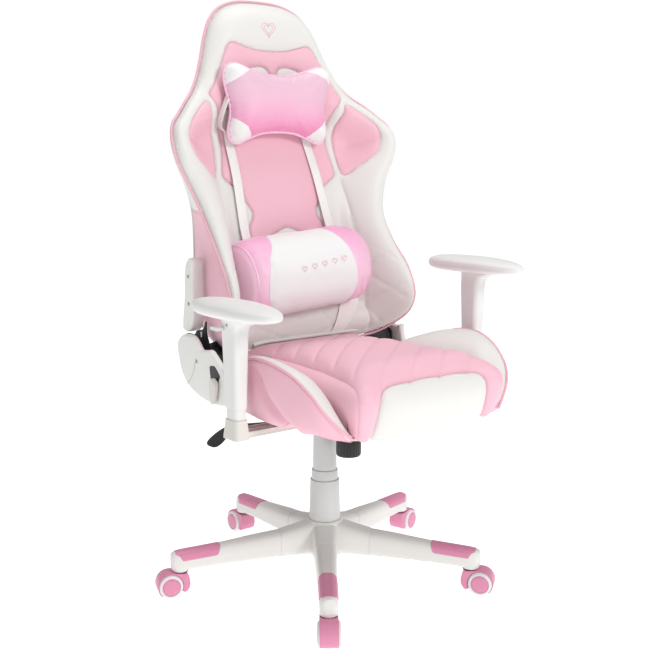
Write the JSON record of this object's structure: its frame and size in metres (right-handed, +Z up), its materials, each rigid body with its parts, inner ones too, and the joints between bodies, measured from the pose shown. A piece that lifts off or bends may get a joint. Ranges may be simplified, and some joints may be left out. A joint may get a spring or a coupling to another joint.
{
  "type": "gaming chair",
  "caption": "Racing-style gaming chair: winged reclining backrest with pillows, bolstered seat, height-adjustable arms and a star base on casters.",
  "frame": {"origin": "floor, middle of the footprint", "axes": "+Z up, the sitter faces -Y, +X is the sitter's left"},
  "size_m": [0.7158, 0.7027, 1.237],
  "materials": {
    "base_plastic": "satin",
    "pink_plastic": "satin",
    "wheel_plastic": "satin",
    "black_plastic": "satin",
    "black_steel": "satin",
    "bright_steel": "satin",
    "pink_leatherette": "satin",
    "white_leatherette": "satin",
    "pink_satin": "satin"
  },
  "bodies": {
    "base": {"star_base": "base_plastic", "leg_pad_1": "pink_plastic", "leg_pad_2": "pink_plastic", "leg_pad_3": "pink_plastic", "leg_pad_4": "pink_plastic", "leg_pad_5": "pink_plastic", "gas_cylinder": "black_steel", "column_cover_lower": "base_plastic"},
    "caster_1": {"caster_1_hood": "pink_plastic"},
    "caster_1_wheels": {"caster_1_wheel_left": "wheel_plastic", "caster_1_wheel_right": "wheel_plastic"},
    "caster_2": {"caster_2_hood": "pink_plastic"},
    "caster_2_wheels": {"caster_2_wheel_left": "wheel_plastic", "caster_2_wheel_right": "wheel_plastic"},
    "caster_3": {"caster_3_hood": "pink_plastic"},
    "caster_3_wheels": {"caster_3_wheel_left": "wheel_plastic", "caster_3_wheel_right": "wheel_plastic"},
    "caster_4": {"caster_4_hood": "pink_plastic"},
    "caster_4_wheels": {"caster_4_wheel_left": "wheel_plastic", "caster_4_wheel_right": "wheel_plastic"},
    "caster_5": {"caster_5_hood": "pink_plastic"},
    "caster_5_wheels": {"caster_5_wheel_left": "wheel_plastic", "caster_5_wheel_right": "wheel_plastic"},
    "column_middle": {"column_cover_middle": "base_plastic"},
    "lift": {"piston_rod": "bright_steel", "column_cover_upper": "base_plastic"},
    "mechanism": {"tilt_housing": "black_steel", "tilt_spring": "bright_steel", "pivot_pin": "bright_steel"},
    "tension_knob": {"tension_knob": "black_plastic"},
    "height_lever": {"height_lever": "black_plastic"},
    "seat": {"seat_plate": "black_steel", "seat_frame": "black_steel", "seat_cushion": "pink_leatherette", "seat_bolster_left": "pink_leatherette", "seat_bolster_right": "pink_leatherette", "arm_bracket_left": "base_plastic", "arm_bracket_right": "base_plastic", "arm_post_left": "base_plastic", "arm_post_right": "base_plastic", "hinge_plate_seat_left": "black_steel", "hinge_plate_seat_right": "black_steel", "hinge_cover_seat_left": "base_plastic", "hinge_cover_seat_right": "base_plastic", "recliner_left": "black_steel", "recliner_right": "black_steel"},
    "arm_left": {"arm_sleeve_left": "base_plastic", "arm_pad_left": "base_plastic"},
    "arm_trigger_left": {"arm_trigger_left": "base_plastic"},
    "arm_right": {"arm_sleeve_right": "base_plastic", "arm_pad_right": "base_plastic"},
    "arm_trigger_right": {"arm_trigger_right": "base_plastic"},
    "backrest": {"back_frame": "black_steel", "back_cushion": "white_leatherette", "hinge_cover_back_left": "base_plastic", "hinge_cover_back_right": "base_plastic", "pillow_straps": "white_leatherette"},
    "recline_lever": {"recline_lever": "base_plastic"},
    "head_pillow": {"head_pillow": "pink_satin"},
    "lumbar_pillow": {"lumbar_pillow": "pink_satin"}
  },
  "joints": [
    {"name": "caster_1_swivel", "type": "hinge", "parent": "base", "child": "caster_1", "pos_m": [-0.18809, -0.27804, 0.054], "axis": [0, 0, 1], "continuous": true},
    {"name": "caster_1_roll", "type": "hinge", "parent": "caster_1", "child": "caster_1_wheels", "pos_m": [-0.20138, -0.29632, 0.0255], "axis": [0.809, -0.5878, 0], "continuous": true},
    {"name": "caster_2_swivel", "type": "hinge", "parent": "base", "child": "caster_2", "pos_m": [0.18809, -0.27804, 0.054], "axis": [0, 0, 1], "continuous": true},
    {"name": "caster_2_roll", "type": "hinge", "parent": "caster_2", "child": "caster_2_wheels", "pos_m": [0.20138, -0.29632, 0.0255], "axis": [0.809, 0.5878, 0], "continuous": true},
    {"name": "caster_3_swivel", "type": "hinge", "parent": "base", "child": "caster_3", "pos_m": [0.30434, 0.07974, 0.054], "axis": [0, 0, 1], "continuous": true},
    {"name": "caster_3_roll", "type": "hinge", "parent": "caster_3", "child": "caster_3_wheels", "pos_m": [0.32583, 0.08672, 0.0255], "axis": [-0.309, 0.9511, 0], "continuous": true},
    {"name": "caster_4_swivel", "type": "hinge", "parent": "base", "child": "caster_4", "pos_m": [0, 0.30085, 0.054], "axis": [0, 0, 1], "continuous": true},
    {"name": "caster_4_roll", "type": "hinge", "parent": "caster_4", "child": "caster_4_wheels", "pos_m": [0, 0.32345, 0.0255], "axis": [-1, 0, 0], "continuous": true},
    {"name": "caster_5_swivel", "type": "hinge", "parent": "base", "child": "caster_5", "pos_m": [-0.30434, 0.07974, 0.054], "axis": [0, 0, 1], "continuous": true},
    {"name": "caster_5_roll", "type": "hinge", "parent": "caster_5", "child": "caster_5_wheels", "pos_m": [-0.32583, 0.08672, 0.0255], "axis": [-0.309, -0.9511, 0], "continuous": true},
    {"name": "lift_slide", "type": "slide", "parent": "base", "child": "lift", "axis": [0, 0, 1], "range_m": [-0.06, 0.02]},
    {"name": "column_middle_slide", "type": "slide", "parent": "base", "child": "column_middle", "axis": [0, 0, 1], "range_m": [-0.03, 0.01]},
    {"name": "seat_swivel", "type": "hinge", "parent": "lift", "child": "mechanism", "pos_m": [0, -0.01915, 0.36], "axis": [0, 0, 1], "continuous": true},
    {"name": "tension_knob_turn", "type": "hinge", "parent": "mechanism", "child": "tension_knob", "pos_m": [0, -0.10115, 0.31], "axis": [0, 0, 1], "continuous": true},
    {"name": "height_lever_lift", "type": "hinge", "parent": "mechanism", "child": "height_lever", "pos_m": [-0.086, -0.04915, 0.367], "axis": [0, 1, 0], "range_deg": [0, 6], "stiffness_Nm_per_rad": 0.6, "springref_deg": -17.19},
    {"name": "seat_tilt", "type": "hinge", "parent": "mechanism", "child": "seat", "pos_m": [0, -0.05915, 0.372], "axis": [-1, 0, 0], "range_deg": [0, 12], "stiffness_Nm_per_rad": 120, "springref_deg": -20.05},
    {"name": "arm_left_height", "type": "slide", "parent": "seat", "child": "arm_left", "axis": [0, 0, 1], "range_m": [-0.048, 0.022]},
    {"name": "arm_right_height", "type": "slide", "parent": "seat", "child": "arm_right", "axis": [0, 0, 1], "range_m": [-0.005, 0.065]},
    {"name": "arm_trigger_left_lift", "type": "hinge", "parent": "arm_left", "child": "arm_trigger_left", "pos_m": [0.325, -0.12915, 0.639], "axis": [0, -1, 0], "range_deg": [0, 10], "stiffness_Nm_per_rad": 0.05, "springref_deg": -17.19},
    {"name": "arm_trigger_right_lift", "type": "hinge", "parent": "arm_right", "child": "arm_trigger_right", "pos_m": [-0.325, -0.12915, 0.596], "axis": [0, 1, 0], "range_deg": [0, 10], "stiffness_Nm_per_rad": 0.05, "springref_deg": -17.19},
    {"name": "backrest_recline", "type": "hinge", "parent": "seat", "child": "backrest", "pos_m": [0, 0.06885, 0.49], "axis": [-1, 0, 0], "range_deg": [-6, 57]},
    {"name": "recline_lever_pull", "type": "hinge", "parent": "seat", "child": "recline_lever", "pos_m": [-0.27, 0.00085, 0.473], "axis": [1, 0, 0], "range_deg": [0, 35], "stiffness_Nm_per_rad": 0.2, "springref_deg": -17.19},
    {"name": "head_pillow_slide", "type": "slide", "parent": "backrest", "child": "head_pillow", "axis": [0, 0.1772, 0.9842], "range_m": [-0.08, 0.05]},
    {"name": "lumbar_pillow_slide", "type": "slide", "parent": "backrest", "child": "lumbar_pillow", "axis": [0, 0.1772, 0.9842], "range_m": [-0.03, 0.08]}
  ],
  "couplings": [
    {"joint": "column_middle_slide", "follows": "lift_slide", "ratio": 0.5}
  ]
}
